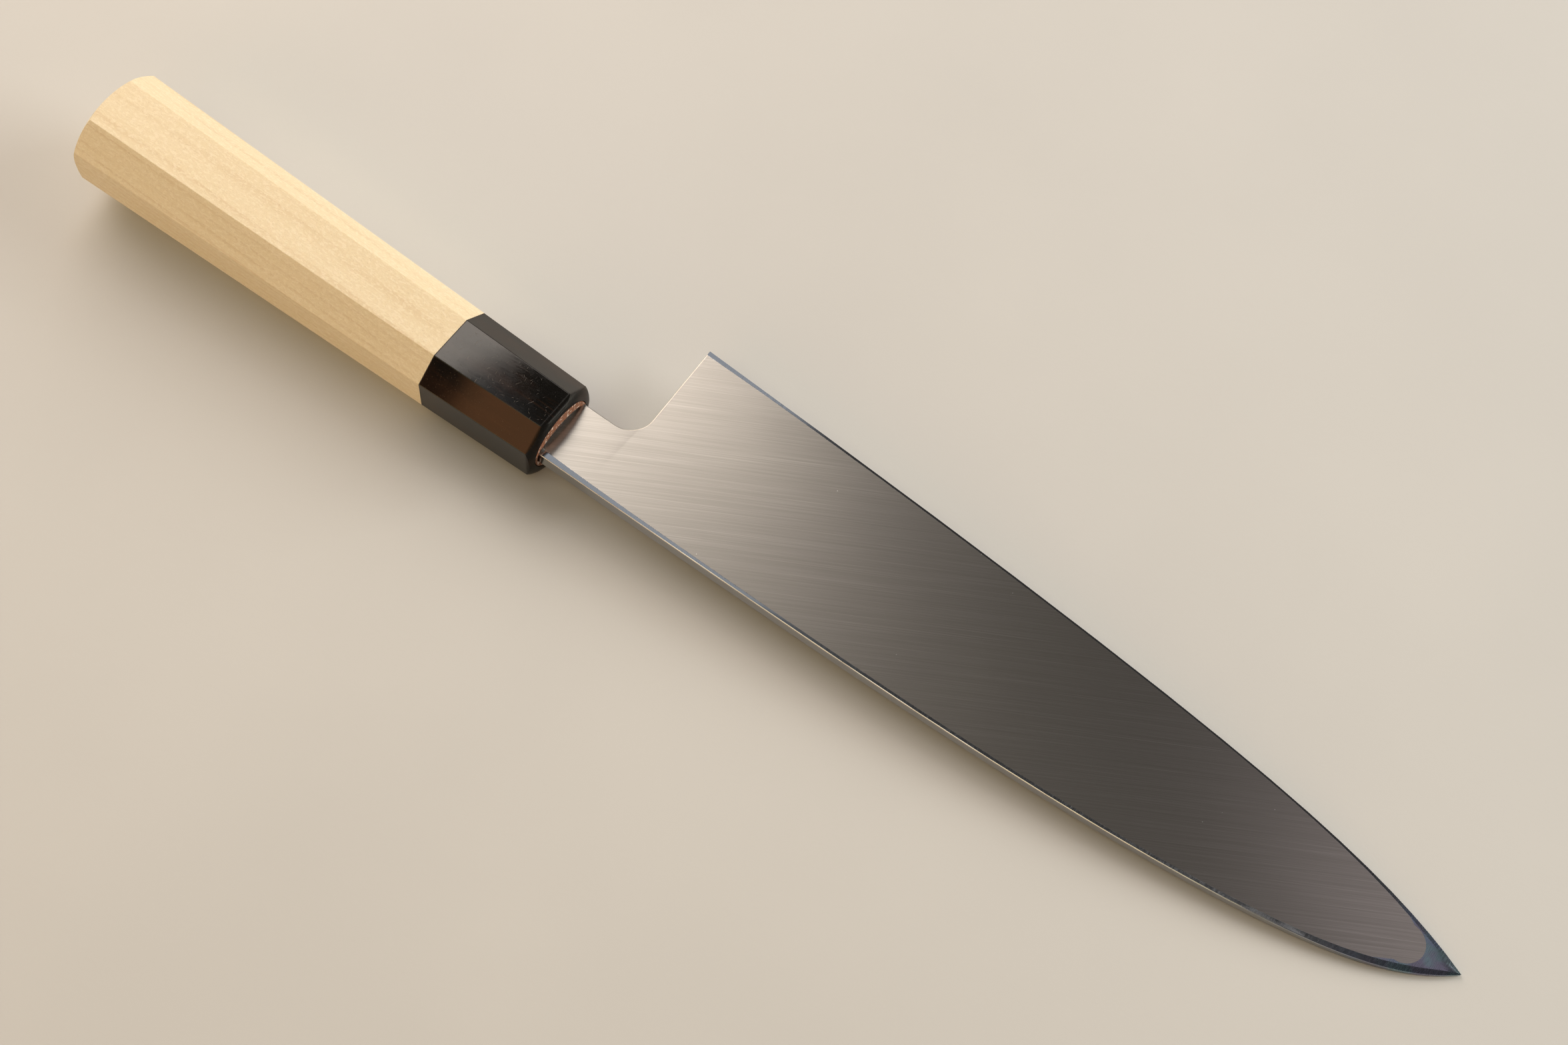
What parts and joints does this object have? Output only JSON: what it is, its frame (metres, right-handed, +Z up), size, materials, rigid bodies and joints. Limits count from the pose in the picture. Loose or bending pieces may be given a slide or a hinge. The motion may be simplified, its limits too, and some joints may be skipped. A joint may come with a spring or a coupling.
{
  "type": "chef knife",
  "caption": "Japanese chef's knife with a pointed steel blade, octagonal pale wood handle and dark horn collar, lying flat.",
  "frame": {"origin": "on the table, under the centre of the bounding box of the knife as it lies at rest", "axes": "+X along the knife from the butt to the tip, +Y from the spine towards the cutting edge, +Z up off the table"},
  "size_m": [0.3558, 0.0504, 0.026],
  "materials": {
    "blade_steel": "satin faces brushed at about 30 degrees to the blade, polished shoulders, bevels and tip",
    "buffalo_horn": "polished near-black horn",
    "magnolia_wood": "pale, fine-grained, lightly sanded and unvarnished",
    "core_wood": "reddish brown, raw end grain",
    "glue": "thin dark glue",
    "sealant": "dark, rough sealant"
  },
  "bodies": {
    "root": {"blade": "blade_steel", "collar": "buffalo_horn", "grip": "magnolia_wood", "core": "core_wood", "core_glue": "glue", "joint_glue": "glue", "tang_adhesive": "glue", "mouth_seal": "sealant"}
  },
  "joints": []
}
